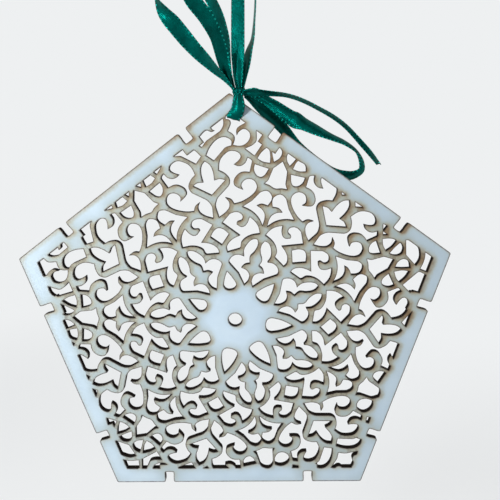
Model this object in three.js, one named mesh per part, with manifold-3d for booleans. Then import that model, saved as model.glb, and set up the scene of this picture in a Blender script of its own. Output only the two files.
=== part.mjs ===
// Five-sided plywood fretwork ornament with a seven-fold mandala, hung on a knotted satin ribbon.
// Millimetres, +Z up, the painted face looks along -Y, the origin is where the hook bears on the loop.
import * as THREE from 'three';
import { mergeVertices } from 'three/addons/utils/BufferGeometryUtils.js';
import Module from 'manifold-3d';

const wasm = await Module();
wasm.setup();

// Panel sizes
const PANEL_SIDE = 135;
const PLY_THICKNESS = 3;
const CORNER_ROUND = 1.2;
const BORDER_WIDTH = 7.75;
const FIELD_OFFSET = new THREE.Vector2(0.3, 0.7);
const CENTRE_HOLE_DIAMETER = 7;
const HOLE_SEGMENTS = 16;
const CENTRE_HOLE_OFFSET = new THREE.Vector2(0.2, 1.6);
const HUB_RADIUS = 16.3;

// Slots along the rim, two to a side, with a plain pad kept round each
const SLOT_OFFSET = 38.3;
const SLOT_WIDTH = 4.6;
const SLOT_DEPTH = 6.2;
const SLOT_MOUTH_ROUND = 1;
const SLOT_FLOOR_ROUND = 0.6;
const PAD_SIDE_WALL = 2.9;
const PAD_FLOOR_WALL = 4.6;

// Mandala sizes
const MANDALA_FOLDS = 7;
const MANDALA_TURN_DEG = -3;
const MANDALA_OFFSET = new THREE.Vector2(1.6, -0.8);
const TEARDROP_END_ROUND = 2.8;
const OUTLINE_TOLERANCE = 0.17416;
const SMALLEST_OPENING_AREA = 0.9;

// Ribbon sizes: the knot hangs below the hook and to the left of it, right of the panel's middle line
const RIBBON_WIDTH = 7;
const RIBBON_THICKNESS = 0.4;
const KNOT_LENGTH = 6.2;
const KNOT_DIAMETER = 4.6;
const KNOT_DROP = 77.5;
const HOOK_OFFSET = 4.65;
const LOOP_SPREAD = 7.7;
const TURN_DROP = 36;
const KNOT_OFF_CENTRE = 4.2;
const WRAP_BEND_WIDTH = 6.4;
const WRAP_BEND_SLOPE_DEG = 17;
const CLEARANCE = 0.3;
const RIBBON_STEPS_PER_SPAN = 2;

const SIDES = 5;
const HALF_SIDE_ANGLE = Math.PI / SIDES;
const UP_SLOPE = Math.sin(HALF_SIDE_ANGLE);
const OUT_OF_SLOPE = Math.cos(HALF_SIDE_ANGLE);
const PANEL_INRADIUS = PANEL_SIDE / (2 * Math.tan(HALF_SIDE_ANGLE));
const PANEL_CIRCUMRADIUS = PANEL_SIDE / (2 * Math.sin(HALF_SIDE_ANGLE));
const PATTERN_INRADIUS = PANEL_INRADIUS - BORDER_WIDTH;
const PATTERN_APEX = PATTERN_INRADIUS / Math.cos(HALF_SIDE_ANGLE);
const FOLD_ANGLE = (2 * Math.PI) / MANDALA_FOLDS;

// The mandala's outlines are drawn in hundredths of its reach, which is that of the panel's corners.
const MANDALA_UNIT = PANEL_CIRCUMRADIUS / 100;
const CUT_DEPTH = PLY_THICKNESS * 2;

// Solids

function solidOf(geometry) {
  geometry.deleteAttribute('normal');
  geometry.deleteAttribute('uv');
  const merged = mergeVertices(geometry, 1e-4);
  return new wasm.Manifold(
    new wasm.Mesh({
      numProp: 3,
      vertProperties: new Float32Array(merged.attributes.position.array),
      triVerts: new Uint32Array(merged.index.array),
    }),
  );
}

function geometryOf(solid) {
  const mesh = solid.getMesh();
  const geometry = new THREE.BufferGeometry();
  geometry.setAttribute('position', new THREE.BufferAttribute(mesh.vertProperties, mesh.numProp));
  geometry.setIndex(new THREE.BufferAttribute(mesh.triVerts, 1));
  geometry.computeVertexNormals();
  return geometry;
}

// A plate of the given outline, standing in the panel's plane with its middle at Y = 0.
function plate(shape, thickness, curveSegments = 4) {
  const geometry = new THREE.ExtrudeGeometry(shape, {
    depth: thickness,
    bevelEnabled: false,
    curveSegments,
  });
  geometry.translate(0, 0, -thickness / 2);
  geometry.rotateX(Math.PI / 2);
  return solidOf(geometry);
}

function unionOf(solids) {
  return solids.reduce((whole, solid) => whole.add(solid));
}

// Outlines

// A closed outline of straight edges whose corners [x, y, round] are rounded.
function roundedShape(corners) {
  const shape = new THREE.Shape();
  corners.forEach(([x, y, round], i) => {
    const corner = new THREE.Vector2(x, y);
    const before = new THREE.Vector2(...corners.at(i - 1)).sub(corner).normalize();
    const after = new THREE.Vector2(...corners[(i + 1) % corners.length]).sub(corner).normalize();
    const setback = round / Math.tan(Math.acos(before.dot(after)) / 2);
    const start = before.multiplyScalar(setback).add(corner);
    const end = after.multiplyScalar(setback).add(corner);
    if (i === 0) {
      shape.moveTo(start.x, start.y);
    } else {
      shape.lineTo(start.x, start.y);
    }
    shape.quadraticCurveTo(x, y, end.x, end.y);
  });
  shape.closePath();
  return shape;
}

// Fewest of a curve's points that keep within the tolerance of it.
function thinned(points, tolerance) {
  const first = points[0];
  const last = points.at(-1);
  const chord = last.clone().sub(first);
  let farthest = 0;
  let distance = 0;
  points.forEach((point, i) => {
    const offset = point.clone().sub(first);
    const away = chord.length() > 0 ? Math.abs(offset.cross(chord)) / chord.length() : offset.length();
    if (away > distance) {
      distance = away;
      farthest = i;
    }
  });
  if (distance < tolerance) {
    return [first, last];
  }
  const lead = thinned(points.slice(0, farthest + 1), tolerance);
  return [...lead.slice(0, -1), ...thinned(points.slice(farthest), tolerance)];
}

// The points of a closed outline. Its strokes are smooth curves between the points marked SHARP.
const SHARP = true;
const CURVE_SAMPLES = 60;
function outlinePoints(knots) {
  const firstSharp = knots.findIndex((knot) => knot[2]);
  const ring = [...knots.slice(firstSharp), ...knots.slice(0, firstSharp + 1)];
  const points = [];
  let stroke = [];
  ring.forEach(([x, y, sharp], i) => {
    stroke.push(new THREE.Vector2(x, y).multiplyScalar(MANDALA_UNIT));
    if (sharp && i > 0) {
      const curve = stroke.length > 2 ? new THREE.SplineCurve(stroke).getPoints(CURVE_SAMPLES) : stroke;
      points.push(...thinned(curve, OUTLINE_TOLERANCE * MANDALA_UNIT).slice(0, -1));
      stroke = [stroke.at(-1)];
    }
  });
  return points;
}

// A half outline closed by its own mirror image in the line y = 0.
function mirroredOutline(half) {
  const image = half.map(([x, y, sharp]) => [x, -y, sharp]).reverse();
  return [...half, ...image.filter(([, y]) => y !== 0)];
}

// The mandala's openings in one fold, drawn with the fold's axis along +x

// Cross-shaped hole between the teardrops and the hooks
const RHOMBUS = mirroredOutline([
  [37.2, 0, SHARP], [41.4, 4.1, SHARP], [43.7, 2.3], [44.8, 0],
]);

// Lily on the axis, a long petal between two short ones
const LILY = mirroredOutline([
  [59.4, 0, SHARP], [61.9, 3.1], [64.6, 7.0, SHARP], [65.5, 5.0], [65.3, 2.4, SHARP],
  [69.3, 2.6], [72.2, 1.8], [74.0, 0, SHARP],
]);

// Point of the outer ring, held between two hooked tips
const OUTER_POINT = mirroredOutline([
  [80.0, 0, SHARP], [82.3, 2.7], [83.9, 6.0], [85.0, 8.7], [86.7, 10.4], [88.7, 11.1], [93, 11, SHARP],
  [93, 6, SHARP], [87.6, 5.3], [85.7, 6.7, SHARP], [85.4, 5.2], [86.6, 3.2, SHARP], [93, 2, SHARP],
]);

// Three-lobed hole beside the solid lotus
const LOTUS_SIDE = [
  [17.5, 6.3, SHARP], [19.0, 8.2], [21.8, 9.3], [24.2, 8.3], [25.5, 6.5, SHARP],
  [26.6, 8.2], [26.7, 10.5, SHARP], [29.4, 11.0], [31.4, 13.5], [34.2, 15.6], [36.7, 15.8, SHARP],
  [37.1, 14.0], [35.3, 10.9], [32.6, 9.0], [30.3, 8.7, SHARP],
  [31.7, 5.9], [31.0, 3.2], [29.1, 1.7], [27.3, 2.5], [24.0, 4.5], [20.8, 5.6],
];

// Leaf that opens into a hooked bay
const LEAF_AND_HOOK = [
  [33.6, 1.9, SHARP], [33.9, 4.6], [34.1, 7.2, SHARP], [37.2, 9.1], [38.9, 12.8], [39.0, 17.3, SHARP],
  [42.4, 17.2], [45.2, 15.9], [47.0, 14.4, SHARP], [44.3, 12.6], [43.3, 10.4], [44.9, 8.2, SHARP],
  [45.7, 8.4, SHARP], [46.6, 10.9], [48.5, 11.3], [50.2, 9.4], [49.8, 6.0], [46.7, 2.2, SHARP],
  [43.3, 5.3], [39.8, 8.7, SHARP], [39.2, 6.2], [37.2, 3.0], [35.4, 1.9],
];

// Claw-shaped hole
const CLAW = [
  [42.2, 19.2, SHARP], [46.3, 20.9], [49.3, 20.2], [51.3, 18.3, SHARP], [51.6, 20.3], [50.3, 23.0, SHARP],
  [53.2, 25.4], [56.5, 24.2], [56.6, 20.9], [53.9, 16.9], [52.0, 12.2, SHARP], [50.1, 14.9], [46.6, 17.8],
];

// Large scrolled hole that runs round the lily
const SCROLL = [
  [49.3, 1.3, SHARP], [54.0, 0.8], [57.4, 2.3], [60.3, 6.1], [62.1, 8.2], [64.6, 9.0], [67.4, 7.5],
  [69.2, 5.2, SHARP], [73.3, 6.6], [76.1, 10.7], [75.4, 14.2], [73.4, 15.5], [71.7, 14.2],
  [70.4, 11.9, SHARP], [69.2, 14.4], [70.2, 17.0], [72.1, 18.3, SHARP], [70.5, 19.8], [68.2, 19.0],
  [66.0, 17.9, SHARP],
  [66.6, 14.4], [64.6, 11.1], [61.6, 10.6], [59.1, 13.8, SHARP],
  [61.4, 13.5], [63.3, 16.3], [62.0, 19.2], [58.7, 19.7], [55.9, 16.7], [54.2, 12.0], [53.9, 8.9, SHARP],
  [56.0, 7.9], [57.3, 5.6, SHARP], [54.6, 6.9], [51.8, 5.6],
];

// Three petals of the fan on each side of the half axis
const FAN_INNER = [
  [65.8, 26.3, SHARP], [67.4, 23.7], [68.8, 20.8, SHARP], [66.4, 20.0], [63.9, 20.8], [63.0, 23.0],
];
const FAN_MIDDLE = [
  [68.1, 27.2, SHARP], [71.4, 27.9], [75.0, 27.6, SHARP], [73.2, 24.5], [71.0, 22.3, SHARP], [69.3, 24.2],
];
const FAN_OUTER = [
  [68.2, 29.0, SHARP], [71.6, 28.9], [75.0, 29.2, SHARP], [74.2, 31.8], [71.7, 33.1], [69.4, 31.7],
];

// Bay between the fan and the outer ring
const RIM_BAY = [
  [72.4, 21.3, SHARP], [75.2, 24.0], [78.3, 27.2, SHARP], [86.5, 25.2, SHARP], [86.0, 24.6, SHARP],
  [79.5, 23.6], [77.3, 22.3], [76.0, 18.0, SHARP],
];

// Curved bar hole of the outer ring
const RING_BAR = [
  [73.6, 3.9, SHARP], [76.3, 1.1, SHARP], [79.4, 3.4], [81.8, 6.6], [82.4, 9.9], [80.6, 12.7],
  [78.4, 12.4, SHARP], [77.8, 9.3],
];

// Comma-shaped hole of the outer ring with the wave beside it
const RING_WAVE = [
  [78.5, 13.2, SHARP], [77.5, 16.4], [78.7, 19.7], [81.6, 21.1], [84.0, 19.2], [83.4, 16.8],
  [82.0, 15.5, SHARP], [84.9, 16.2], [86.6, 20.6, SHARP], [93, 25, SHARP], [97, 14, SHARP], [91.0, 13.2],
  [88.2, 14.0], [84.5, 12.2, SHARP], [83.2, 13.7], [81.2, 14.5],
];

// Holes on the half axis, drawn with the half axis along +x
const VASE = mirroredOutline([
  [75.1, 0, SHARP], [71.4, 3.1, SHARP], [68.6, 3.4], [66.0, 3.9], [64.2, 5.0, SHARP], [64.0, 2.9], [63.2, 0],
]);
const CRESCENT = mirroredOutline([
  [80.6, 0, SHARP], [81.6, 2.9], [82.8, 6.2, SHARP], [85.5, 4.1], [86.8, 0],
]);
const OUTER_BAY = mirroredOutline([
  [88.9, 0], [88.3, 3.2], [86.4, 6.1], [83.9, 8.5, SHARP], [86.6, 11.2, SHARP], [96, 8, SHARP],
]);

// A slender band of the outer ring that has broken away beside one fan
const BROKEN_BAND = [
  [75.6, 18.4, SHARP], [80.6, 18.4, SHARP], [82.5, 24.4, SHARP], [76.4, 23.4, SHARP],
];

// Beside the fold that fills a corner, two petals of each fan run together into one round hole
const ROUND_HOLE = [
  [67.2, 28.0, SHARP], [64.7, 26.5], [63.3, 23.6], [64.4, 21.1], [66.9, 20.2], [69.5, 21.5], [70.1, 24.2],
  [69.1, 26.7],
];
const ROUND_HOLE_FOLD = 6;

// Turns an outline's points to an angle about the mandala's centre and moves them to its place.
function placed(points, angle) {
  const origin = new THREE.Vector2();
  return points.map((point) => point.clone().rotateAround(origin, angle).add(MANDALA_OFFSET));
}

function opening(points, angle) {
  return plate(new THREE.Shape(placed(points, angle)), CUT_DEPTH);
}

// A teardrop reaches in from its tip to the plain hub, where its end is round.
const TEARDROP_TIP = 25 * MANDALA_UNIT;
const TEARDROP_WIDEST = 14 * MANDALA_UNIT;
const TEARDROP_HALF_WIDTH = 3.5 * MANDALA_UNIT;
const TEARDROP_STEPS = 7;
const TEARDROP_ROUND_STEPS = 3;
function teardropPoints(angle) {
  const hub = CENTRE_HOLE_OFFSET.clone().sub(MANDALA_OFFSET);
  const axis = new THREE.Vector2(Math.cos(angle), Math.sin(angle));
  const along = hub.dot(axis);
  const across = hub.cross(axis);
  const innerEnd = along + Math.sqrt(HUB_RADIUS ** 2 - across ** 2);
  const halfWidthAt = (x) => {
    const share = (x - TEARDROP_WIDEST) / (TEARDROP_TIP - TEARDROP_WIDEST);
    return TEARDROP_HALF_WIDTH * (1 - share ** 2);
  };
  const shoulder = innerEnd + TEARDROP_END_ROUND;
  const endHalf = halfWidthAt(shoulder) - TEARDROP_END_ROUND;
  const half = [];
  for (let i = 0; i < TEARDROP_ROUND_STEPS; i += 1) {
    const turn = (i / TEARDROP_ROUND_STEPS) * (Math.PI / 2);
    const x = shoulder - TEARDROP_END_ROUND * Math.cos(turn);
    half.push(new THREE.Vector2(x, endHalf + TEARDROP_END_ROUND * Math.sin(turn)));
  }
  for (let i = 0; i < TEARDROP_STEPS; i += 1) {
    const x = shoulder + ((TEARDROP_TIP - shoulder) * i) / TEARDROP_STEPS;
    half.push(new THREE.Vector2(x, halfWidthAt(x)));
  }
  const tip = new THREE.Vector2(TEARDROP_TIP, 0);
  const image = half.map((point) => new THREE.Vector2(point.x, -point.y)).reverse();
  return [...half, tip, ...image];
}

function mandalaOpenings() {
  const onAxis = [RHOMBUS, LILY, OUTER_POINT].map(outlinePoints);
  const inPairs = [LOTUS_SIDE, LEAF_AND_HOOK, CLAW, SCROLL, RIM_BAY, RING_BAR, RING_WAVE].map(outlinePoints);
  const fan = [FAN_INNER, FAN_MIDDLE, FAN_OUTER].map(outlinePoints);
  const roundHole = outlinePoints(ROUND_HOLE);
  const onHalfAxis = [VASE, CRESCENT, OUTER_BAY].map(outlinePoints);
  const solids = [];
  for (let fold = 0; fold < MANDALA_FOLDS; fold += 1) {
    const angle = THREE.MathUtils.degToRad(MANDALA_TURN_DEG) + fold * FOLD_ANGLE;
    solids.push(opening(teardropPoints(angle), angle));
    onAxis.forEach((points) => solids.push(opening(points, angle)));
    onHalfAxis.forEach((points) => solids.push(opening(points, angle + FOLD_ANGLE / 2)));
    const fanHoles = fold === ROUND_HOLE_FOLD ? [roundHole] : fan;
    [...inPairs, ...fanHoles].forEach((points) => {
      const image = points.map((point) => new THREE.Vector2(point.x, -point.y));
      solids.push(opening(points, angle), opening(image, angle));
    });
  }
  solids.push(opening(outlinePoints(BROKEN_BAND), THREE.MathUtils.degToRad(MANDALA_TURN_DEG)));
  return unionOf(solids);
}

// Panel

// A point of side number k, measured along the side from its middle and inward from its edge.
function onSide(k, along, inward) {
  const normal = Math.PI / 2 + HALF_SIDE_ANGLE * (2 * k + 1);
  const out = new THREE.Vector2(Math.cos(normal), Math.sin(normal));
  const forward = new THREE.Vector2(-out.y, out.x);
  const point = out.multiplyScalar(PANEL_INRADIUS - inward).add(forward.multiplyScalar(along));
  return [point.x, point.y];
}

// The ribbon bends across the topmost corner of the pattern, its two edges close under the sloping border.
// The opening there is kept free for the ribbon's whole width.
const BEND_SLOPE = THREE.MathUtils.degToRad(WRAP_BEND_SLOPE_DEG);
const BEND_HALF = WRAP_BEND_WIDTH / 2;
const BEND_ASIDE = (BEND_HALF * Math.sin(BEND_SLOPE) * OUT_OF_SLOPE) / UP_SLOPE;
const BEND_GAP = 2 * CLEARANCE + RIBBON_THICKNESS / 2;
const BEND_BELOW_CORNER = (BEND_GAP + BEND_HALF * Math.cos(BEND_SLOPE) * UP_SLOPE) / OUT_OF_SLOPE;
const PATTERN_CORNER = new THREE.Vector2(0, PATTERN_APEX).add(FIELD_OFFSET);
const WRAP_BEND_PLACE = new THREE.Vector2(BEND_ASIDE, -BEND_BELOW_CORNER).add(PATTERN_CORNER);
function wrapPassage() {
  const half = BEND_HALF + 2 * CLEARANCE;
  const room = RIBBON_THICKNESS + 2 * CLEARANCE;
  const corners = [[-half, -room], [half, -room], [half, room], [-half, room]];
  const origin = new THREE.Vector2();
  const outline = corners.map(([across, up]) => {
    return new THREE.Vector2(across, up).rotateAround(origin, -BEND_SLOPE).add(WRAP_BEND_PLACE);
  });
  return plate(new THREE.Shape(outline), CUT_DEPTH);
}

function panelSolid() {
  const rim = [];
  const pads = [];
  const halfSlot = SLOT_WIDTH / 2;
  const halfPad = halfSlot + PAD_SIDE_WALL;
  const padDepth = SLOT_DEPTH + PAD_FLOOR_WALL;
  for (let k = 0; k < SIDES; k += 1) {
    rim.push([...onSide(k, -PANEL_SIDE / 2, 0), CORNER_ROUND]);
    [-SLOT_OFFSET, SLOT_OFFSET].forEach((middle) => {
      rim.push([...onSide(k, middle - halfSlot, 0), SLOT_MOUTH_ROUND]);
      rim.push([...onSide(k, middle - halfSlot, SLOT_DEPTH), SLOT_FLOOR_ROUND]);
      rim.push([...onSide(k, middle + halfSlot, SLOT_DEPTH), SLOT_FLOOR_ROUND]);
      rim.push([...onSide(k, middle + halfSlot, 0), SLOT_MOUTH_ROUND]);
      const pad = [
        onSide(k, middle - halfPad, 0), onSide(k, middle - halfPad, padDepth),
        onSide(k, middle + halfPad, padDepth), onSide(k, middle + halfPad, 0),
      ].map((corner) => new THREE.Vector2(...corner));
      pads.push(plate(new THREE.Shape(pad), CUT_DEPTH * 2));
    });
  }
  const field = [];
  for (let k = 0; k < SIDES; k += 1) {
    const corner = Math.PI / 2 + k * 2 * HALF_SIDE_ANGLE;
    const reach = new THREE.Vector2(PATTERN_APEX * Math.cos(corner), PATTERN_APEX * Math.sin(corner));
    field.push(reach.add(FIELD_OFFSET));
  }
  const patternField = plate(new THREE.Shape(field), CUT_DEPTH).subtract(unionOf(pads));
  const cut = mandalaOpenings().add(wrapPassage()).intersect(patternField);
  const kept = cut.decompose().filter((piece) => piece.volume() / CUT_DEPTH > SMALLEST_OPENING_AREA);
  const centreHole = new THREE.Shape();
  centreHole.absarc(CENTRE_HOLE_OFFSET.x, CENTRE_HOLE_OFFSET.y, CENTRE_HOLE_DIAMETER / 2, 0, 2 * Math.PI);
  const bore = plate(centreHole, CUT_DEPTH, HOLE_SEGMENTS);
  return plate(roundedShape(rim), PLY_THICKNESS).subtract(bore).subtract(unionOf(kept));
}

// Ribbon

// The knot hangs below the hook and sits on the sloping edge beside the panel's topmost corner.
const KNOT = new THREE.Vector3(-HOOK_OFFSET, 0, -KNOT_DROP);
const KNOT_SEAT = Math.hypot((KNOT_LENGTH / 2) * UP_SLOPE, (KNOT_DIAMETER / 2) * OUT_OF_SLOPE) + CLEARANCE;
const KNOT_ABOVE_CORNER = (KNOT_SEAT - KNOT_OFF_CENTRE * UP_SLOPE) / OUT_OF_SLOPE;
const PANEL_DROP = KNOT_DROP + KNOT_ABOVE_CORNER + PANEL_CIRCUMRADIUS;
const PANEL_CENTRE = new THREE.Vector3(-HOOK_OFFSET - KNOT_OFF_CENTRE, 0, -PANEL_DROP);

// A flat band along a curve measured from the knot's centre: rings of four corners in one closed body.
function band(route, halfAcrossAt, spans) {
  const count = spans * RIBBON_STEPS_PER_SPAN;
  const corners = [];
  const index = [0, 2, 1, 0, 3, 2];
  for (let i = 0; i <= count; i += 1) {
    const t = i / count;
    const centre = route.getPoint(t).add(KNOT);
    const tangent = route.getTangent(t);
    const half = halfAcrossAt(t, tangent);
    const normal = tangent.clone().cross(half).normalize().multiplyScalar(RIBBON_THICKNESS / 2);
    [[-1, -1], [1, -1], [1, 1], [-1, 1]].forEach(([side, face], k) => {
      corners.push(centre.clone().addScaledVector(half, side).addScaledVector(normal, face));
      if (i > 0) {
        const a = 4 * (i - 1) + k;
        const b = 4 * (i - 1) + ((k + 1) % 4);
        index.push(a, b, b + 4, a, b + 4, a + 4);
      }
    });
  }
  const end = count * 4;
  index.push(end, end + 1, end + 2, end, end + 2, end + 3);
  const geometry = new THREE.BufferGeometry().setFromPoints(corners);
  geometry.setIndex(index);
  return solidOf(geometry);
}

// A free strand through stations [x, y, z, tilt, width] from the knot's centre.
// Tilt 0 shows the ribbon's face along Y, tilt 90 shows its edge.
function strand(stations) {
  const centres = stations.map(([x, y, z]) => new THREE.Vector3(x, y, z));
  const settings = stations.map(([, , , tilt, width]) => new THREE.Vector3(tilt, width, 0));
  const route = new THREE.CatmullRomCurve3(centres);
  const set = new THREE.CatmullRomCurve3(settings);
  const halfAcrossAt = (t, tangent) => {
    const { x: tilt, y: width } = set.getPoint(t);
    const angle = THREE.MathUtils.degToRad(tilt);
    const depth = new THREE.Vector3(0, 1, 0).addScaledVector(tangent, -tangent.y).normalize();
    const across = tangent.clone().cross(depth).multiplyScalar(Math.cos(angle));
    return across.addScaledVector(depth, Math.sin(angle)).multiplyScalar(width / 2);
  };
  return band(route, halfAcrossAt, stations.length - 1).subtract(knotSolid(CLEARANCE));
}

// The knot is a tight barrel along X, round about the axis on which the ornament swings.
const KNOT_RINGS = 10;
const KNOT_SEGMENTS = 20;
function knotSolid(grow) {
  const halfLength = KNOT_LENGTH / 2 + grow;
  const radius = KNOT_DIAMETER / 2 + grow;
  const profile = [];
  for (let i = 0; i <= KNOT_RINGS; i += 1) {
    const angle = (Math.PI * i) / KNOT_RINGS;
    profile.push(new THREE.Vector2(radius * Math.sin(angle), -halfLength * Math.cos(angle)));
  }
  profile[0].x = 0;
  profile[KNOT_RINGS].x = 0;
  const geometry = new THREE.LatheGeometry(profile, KNOT_SEGMENTS);
  geometry.rotateZ(-Math.PI / 2);
  geometry.translate(KNOT.x, KNOT.y, KNOT.z);
  return solidOf(geometry);
}

// Hanging loop: up from the knot, round the hook and back down
const W = RIBBON_WIDTH;
const LOOP_LEFT = HOOK_OFFSET - LOOP_SPREAD / 2;
const LOOP_RIGHT = HOOK_OFFSET + LOOP_SPREAD / 2;
const LOOP_TOP = KNOT_DROP + RIBBON_THICKNESS / 2;
const BEND_LEVEL = LOOP_TOP - LOOP_SPREAD / 2;
const BEND_SIDE = (LOOP_SPREAD / 2) * Math.SQRT1_2;
const HANGING_LOOP = [
  [0.4, -0.7, 1, 0, 2.6], [0.1, -0.9, 5, 0, 3.8], [0.1, -1.1, 11.3, 10, 5.4], [0.3, -1.1, 20, 25, W],
  [0.6, -1.1, 32, 27, W], [LOOP_LEFT, -1, 41.6, 30, W], [LOOP_LEFT, -0.5, 52.6, 55, W],
  [LOOP_LEFT, 0, 64.6, 90, W], [LOOP_LEFT, 0, BEND_LEVEL, 90, W],
  [HOOK_OFFSET - BEND_SIDE, 0, BEND_LEVEL + BEND_SIDE, 90, W],
  [HOOK_OFFSET, 0, LOOP_TOP, 90, W],
  [HOOK_OFFSET + BEND_SIDE, 0, BEND_LEVEL + BEND_SIDE, 90, W],
  [LOOP_RIGHT, 0, BEND_LEVEL, 90, W],
  [LOOP_RIGHT, 0, 62.6, 90, W], [LOOP_RIGHT, 0.1, 50.6, 93, W], [8.5, 0.1, 40.2, 96, W], [7.8, 0.4, 31, 98, W],
  [6.9, 0.8, 23.6, 105, W], [5, 1.6, 17.8, 120, W], [3.9, 2, 12.6, 130, 5.8], [2.7, 1.6, 6.5, 145, 3.4],
  [1.8, 1, 1.4, 160, 2],
];

// Bow: a loop and a tail to each side. The left loop leans forward, the right one passes behind the panel.
const LEFT_LOOP = [
  [-2, -1.2, 0.8, 70, 1.6], [-6.3, -2.6, 6.1, 60, 4.4], [-9.8, -4, 9.5, 55, 6], [-13.2, -6, 12.9, 48, W],
  [-19.7, -10.4, 19.2, 25, W], [-25.9, -15, 26.2, 0, W], [-30.5, -18.4, 32.3, 40, W],
  [-32.6, -19.6, 36.5, 70, W], [-33.7, -20.4, 41.1, 88, W], [-32.4, -20.8, 46, 90, W],
  [-28.8, -20.6, 48.4, 90, W], [-25, -20, 45.8, 80, W], [-21.2, -18.8, 40.4, 40, W],
  [-17.5, -17.4, 35.7, 10, W], [-12.7, -13.6, 29.8, 15, W], [-9.6, -9.6, 23.8, 32, W],
  [-7.3, -5.6, 16.9, 20, 6.6], [-6.3, -3.8, 13.1, 5, 5.8], [-4.7, -1.8, 7.4, -15, 4.1],
  [-3.2, -0.5, 4, -15, 2.4], [-2.2, 0.2, 1.1, -10, 1.4],
];
const LEFT_TAIL = [
  [-1.9, 1.2, 1, 30, 1.6], [-2.8, 1.7, 3.6, 30, 2], [-3.6, 2.1, 6.4, 30, 2.6], [-4.6, 2.4, 9.4, 30, 3.8],
  [-5.3, 2.7, 13.8, 32, 5], [-5.7, 2.9, 18.1, 36, 6], [-6, 3, 22.6, 40, W], [-6.4, 3, 26, 42, W],
  [-7.2, 3, 29.7, 44, W], [-8.1, 3, 33.2, 46, W], [-9.4, 3, 36.6, 47, W], [-11.7, 3, 41.3, 48, W],
  [-14, 3.2, 45.7, 48, W], [-16.1, 3.4, 49.7, 48, W],
];
const RIGHT_TAIL = [
  [2, -0.5, -0.1, 140, 2], [6.4, -1, -0.6, 138, 5], [10.8, -1.4, -1.1, 117, 6.4], [15.2, -1.4, -1.3, 105, W],
  [22.6, -1.2, -2.2, 100, W], [28.1, -1, -3.8, 99, W], [33, -1, -5.9, 99, W], [38.2, -1, -8.6, 99, W],
  [43.3, -1, -11.4, 100, W], [48.4, -1, -14.8, 100, W], [52.5, -1, -18.3, 100, W], [56.4, -1, -22.4, 101, W],
  [59.9, -1, -26.2, 103, W], [63.1, -1, -29.8, 104, W], [67.6, -1, -35.5, 104, W],
];
const RIGHT_LOOP = [
  [2, 1, -0.7, 15, 1.8], [5.4, 1.9, -0.7, 15, 2.6], [10.9, 3.2, -2.8, 5, 4.2], [17, 3.8, -6.4, 0, 5.4],
  [25.4, 4.2, -12.4, 0, W], [31.9, 4.4, -15.7, 30, W], [37.3, 4.5, -18.3, 42, W], [45.4, 4.6, -22.1, 63, W],
  [51.4, 4.7, -24.9, 73, W], [57, 4.9, -29.1, 82, W], [60.1, 5.2, -34.1, 96, W], [60.4, 5.8, -38.3, 102, W],
  [57.6, 6.6, -40.4, 115, W], [53.2, 7.2, -41, 130, W], [47.2, 7.6, -39.8, 138, W], [38.8, 8, -34.6, 140, W],
  [28.8, 7.8, -26.2, 140, W], [20.8, 7.2, -17, 140, W], [14.4, 6.4, -11.3, 142, 6.6], [8.6, 4.8, -6.2, 150, 5],
  [5.4, 3.2, -3.6, 155, 3], [2.9, 1.5, -1.8, 160, 1.5],
];

// The wrap holds the panel: down the face, through the topmost opening and up the back.
const WRAP_FACE = PLY_THICKNESS / 2 + CLEARANCE + RIBBON_THICKNESS / 2;
const WRAP_BEND = WRAP_FACE * 0.55;
const WRAP_BEND_OFFSET = WRAP_BEND_PLACE.x - KNOT_OFF_CENTRE;
const WRAP_FLOOR = WRAP_BEND_PLACE.y - PANEL_CIRCUMRADIUS - KNOT_ABOVE_CORNER;
const WRAP_ROOT = KNOT_DIAMETER * 0.37;
const WRAP_TENSION = 0.25;
function wrapSolid() {
  const sloping = new THREE.Vector3(Math.cos(BEND_SLOPE), 0, -Math.sin(BEND_SLOPE));
  const level = new THREE.Vector3(1, 0, 0);
  const face = (side) => [
    [0, side * WRAP_ROOT, -KNOT_DIAMETER / 5, level, 3.6],
    [0, side * WRAP_FACE, -KNOT_DIAMETER / 2, level, 4.4],
    [WRAP_BEND_OFFSET / 2, side * WRAP_FACE, WRAP_FLOOR + 5, sloping, WRAP_BEND_WIDTH],
    [WRAP_BEND_OFFSET, side * WRAP_FACE, WRAP_FLOOR + WRAP_BEND, sloping, WRAP_BEND_WIDTH],
    [WRAP_BEND_OFFSET, side * WRAP_BEND, WRAP_FLOOR, sloping, WRAP_BEND_WIDTH],
  ];
  const stations = [...face(-1), ...face(1).reverse()];
  const curve = (points) => new THREE.CatmullRomCurve3(points, false, 'catmullrom', WRAP_TENSION);
  const route = curve(stations.map(([x, y, z]) => new THREE.Vector3(x, y, z)));
  const halves = stations.map(([, , , direction, width]) => direction.clone().multiplyScalar(width / 2));
  const halfAcross = curve(halves);
  return band(route, (t) => halfAcross.getPoint(t), stations.length - 1).subtract(knotSolid(CLEARANCE));
}

// Assembly

const group = new THREE.Group();
function addPiece(name, solid, material) {
  const mesh = new THREE.Mesh(geometryOf(solid), new THREE.MeshStandardMaterial(material));
  mesh.name = name;
  group.add(mesh);
}

const PAINTED_PLY = { color: 0xc9d9e6, roughness: 0.7, metalness: 0 };
const GREEN_SATIN = { color: 0x04735f, roughness: 0.35, metalness: 0 };

addPiece('fretwork_panel', panelSolid().translate(...PANEL_CENTRE), PAINTED_PLY);
addPiece('ribbon_knot', knotSolid(0), GREEN_SATIN);
addPiece('ribbon_wrap', wrapSolid(), GREEN_SATIN);

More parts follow.
